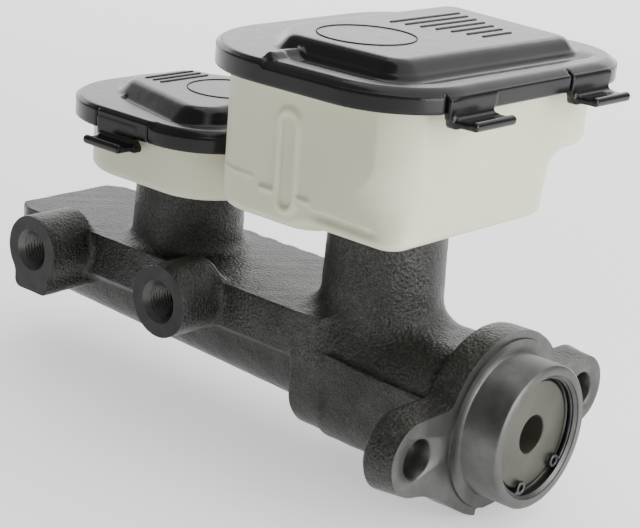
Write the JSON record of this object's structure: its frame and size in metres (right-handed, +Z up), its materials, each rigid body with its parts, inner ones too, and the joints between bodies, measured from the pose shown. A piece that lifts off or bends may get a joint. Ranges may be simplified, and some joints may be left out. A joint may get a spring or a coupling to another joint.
{
  "type": "tandem brake master cylinder",
  "caption": "Cast-iron tandem brake master cylinder with stepped bore, two-eared flange, two outlet ports on one side and two separate plastic reservoirs under snap covers.",
  "frame": {"origin": "on the bore axis in the plane of the mounting flange's rear face", "axes": "+X along the bore towards the pushrod end, +Z up towards the reservoirs, outlet ports face -Y"},
  "size_m": [0.2262, 0.1235, 0.1431],
  "materials": {
    "cast_iron": "rough as cast, machined faces",
    "brass": "machined",
    "spring_steel": "plain drawn wire and pressed sheet",
    "aluminium": "hard anodised",
    "bright_steel": "polished ball",
    "seal_rubber": "matt",
    "ivory_plastic": "translucent satin",
    "cover_plastic": "glossy black",
    "valve_plastic": "satin"
  },
  "bodies": {
    "casting": {"cylinder_body": "cast_iron", "front_tube_seat": "brass", "rear_tube_seat": "brass", "snap_ring": "spring_steel", "front_grommet": "seal_rubber", "rear_grommet": "seal_rubber", "front_reservoir": "ivory_plastic", "rear_reservoir": "ivory_plastic", "takeup_valve_body": "valve_plastic", "takeup_valve_seal": "seal_rubber", "takeup_valve_cap": "valve_plastic", "takeup_ball_spring": "spring_steel"},
    "primary": {"primary_piston": "aluminium", "primary_rear_seal": "seal_rubber", "primary_cup_washer": "spring_steel", "primary_cup": "seal_rubber", "primary_spring_retainer": "spring_steel", "primary_spring": "spring_steel"},
    "secondary": {"secondary_piston": "aluminium", "secondary_rear_seal": "seal_rubber", "secondary_middle_seal": "seal_rubber", "secondary_cup_washer": "spring_steel", "secondary_cup": "seal_rubber", "secondary_spring_retainer": "spring_steel", "secondary_spring": "spring_steel"},
    "ball": {"takeup_ball": "bright_steel"},
    "front_lid": {"front_cover": "cover_plastic", "front_diaphragm": "seal_rubber"},
    "rear_lid": {"rear_cover": "cover_plastic", "rear_diaphragm": "seal_rubber"}
  },
  "joints": [
    {"name": "primary_stroke", "type": "slide", "parent": "casting", "child": "primary", "axis": [-1, 0, 0], "range_m": [0, 0.03], "stiffness_N_per_m": 1500, "springref_m": -0.01, "deforming": ["primary_spring"]},
    {"name": "secondary_stroke", "type": "slide", "parent": "casting", "child": "secondary", "axis": [-1, 0, 0], "range_m": [0, 0.015], "stiffness_N_per_m": 1500, "springref_m": -0.01, "deforming": ["secondary_spring"]},
    {"name": "ball_lift", "type": "slide", "parent": "casting", "child": "ball", "axis": [0, 0, 1], "range_m": [0, 0.0012], "stiffness_N_per_m": 100, "springref_m": -0.001, "deforming": ["takeup_ball_spring"]},
    {"name": "front_cover_lift", "type": "slide", "parent": "casting", "child": "front_lid", "axis": [0, 0, 1], "range_m": [0, 0.018]},
    {"name": "rear_cover_lift", "type": "slide", "parent": "casting", "child": "rear_lid", "axis": [0, 0, 1], "range_m": [0, 0.04]}
  ],
  "couplings": [
    {"joint": "secondary_stroke", "follows": "primary_stroke", "ratio": 0.5}
  ]
}
